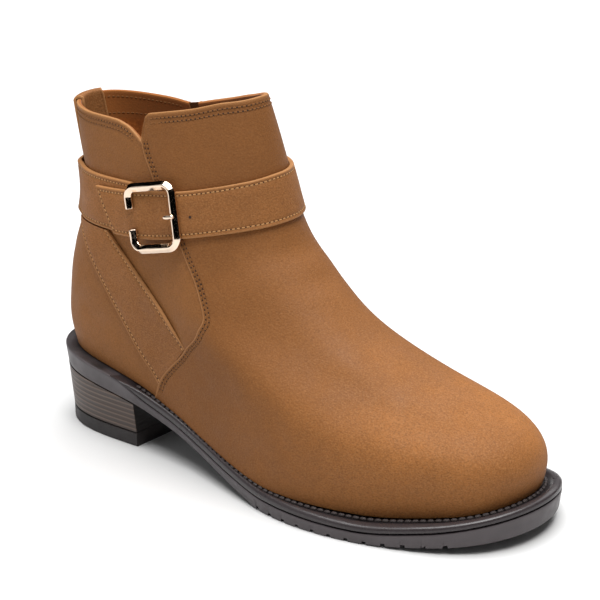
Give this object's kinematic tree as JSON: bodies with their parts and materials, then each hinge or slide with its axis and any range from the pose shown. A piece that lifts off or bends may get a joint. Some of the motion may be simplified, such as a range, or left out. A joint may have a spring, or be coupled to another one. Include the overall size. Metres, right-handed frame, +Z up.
{
  "type": "ankle boot",
  "caption": "Right ankle boot with a low stacked block heel, welted rubber sole, inner zip and a buckled strap round the ankle, standing empty and upright.",
  "frame": {"origin": "On the floor under the centre of the bounding box.", "axes": "+X from heel to toe, +Y to the inner side of the foot, +Z up."},
  "size_m": [0.258, 0.1008, 0.1662],
  "materials": {
    "upper": "matt oiled nubuck",
    "back_stay": "matt oiled nubuck",
    "ankle_strap_front": "matt oiled nubuck, pale cut edges",
    "ankle_strap_rear": "matt oiled nubuck, pale cut edges",
    "slant_strap_outer": "matt oiled nubuck, pale cut edges",
    "slant_strap_inner": "matt oiled nubuck, pale cut edges",
    "insole": "suede lining",
    "outsole": "satin dark rubber",
    "welt": "satin dark rubber",
    "heel_top_piece": "matt dark rubber",
    "heel_stack": "stained layered board",
    "buckle_frame": "polished pale rose gold plate",
    "buckle_prong": "polished pale rose gold plate",
    "zip_chain": "brown tape with moulded teeth",
    "zip_slider": "tan lacquer",
    "zip_pull": "tan lacquer"
  },
  "bodies": {
    "boot": {"upper": "upper", "back_stay": "back_stay", "ankle_strap_front": "ankle_strap_front", "ankle_strap_rear": "ankle_strap_rear", "slant_strap_outer": "slant_strap_outer", "slant_strap_inner": "slant_strap_inner", "insole": "insole", "outsole": "outsole", "welt": "welt", "heel_top_piece": "heel_top_piece", "heel_stack": "heel_stack", "buckle_frame": "buckle_frame", "buckle_prong": "buckle_prong", "zip_chain": "zip_chain", "zip_slider": "zip_slider"},
    "zip_pull": {"zip_pull": "zip_pull"}
  },
  "joints": [
    {"name": "zip_pull_hinge", "type": "hinge", "parent": "boot", "child": "zip_pull", "pos_m": [-0.07327, 0.0292, 0.14026], "axis": [0.9814, 0.0692, 0.1792], "range_deg": [0, 135]}
  ]
}
